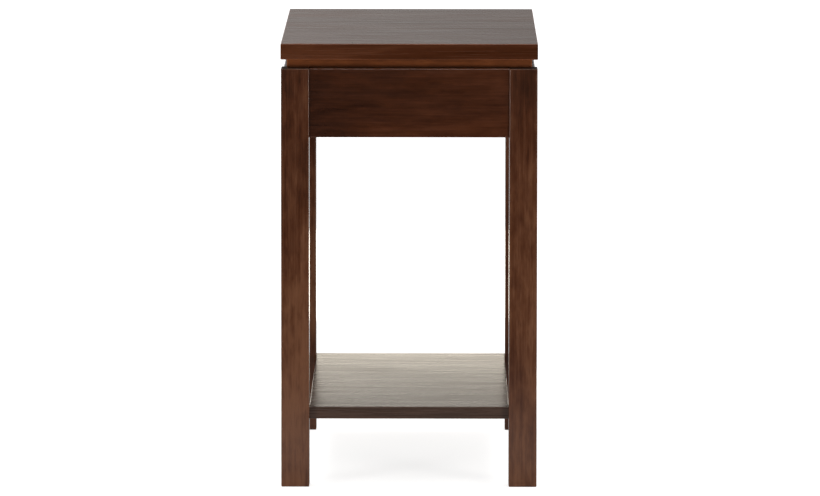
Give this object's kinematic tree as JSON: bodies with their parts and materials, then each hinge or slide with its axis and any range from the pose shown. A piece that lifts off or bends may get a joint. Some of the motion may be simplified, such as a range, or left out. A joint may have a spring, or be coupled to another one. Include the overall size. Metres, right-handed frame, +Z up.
{
  "type": "chairside table",
  "caption": "Narrow, deep wooden side table with square legs, deep aprons, a low open shelf and a thick plain top set off by a recessed strip.",
  "frame": {"origin": "on the floor, under the middle of the table", "axes": "+Z up; -Y towards the front, the narrow end that the picture shows; +X to the right seen from the front"},
  "size_m": [0.3564, 0.6104, 0.6196],
  "materials": {
    "stained_wood": "dark brown stain under satin lacquer, open straight grain",
    "strip_wood": "lighter brown stain under satin lacquer",
    "block_wood": "planed hardwood under the dark stain alone",
    "tenon_wood": "bare beech",
    "screw_steel": "zinc plated, dull",
    "glide_nylon": "moulded nylon, matt"
  },
  "bodies": {
    "root": {"top_panel": "stained_wood", "leg_front_left": "stained_wood", "leg_front_right": "stained_wood", "leg_back_left": "stained_wood", "leg_back_right": "stained_wood", "apron_front": "stained_wood", "apron_back": "stained_wood", "apron_left": "stained_wood", "apron_right": "stained_wood", "shelf_panel": "stained_wood", "spacer_front": "strip_wood", "spacer_back": "strip_wood", "spacer_left": "strip_wood", "spacer_right": "strip_wood", "corner_block_front_left": "block_wood", "corner_block_front_right": "block_wood", "corner_block_back_left": "block_wood", "corner_block_back_right": "block_wood", "shelf_tenons": "tenon_wood", "corner_block_screws": "screw_steel", "top_screws": "screw_steel", "glide_front_left": "glide_nylon", "glide_front_right": "glide_nylon", "glide_back_left": "glide_nylon", "glide_back_right": "glide_nylon"}
  },
  "joints": []
}
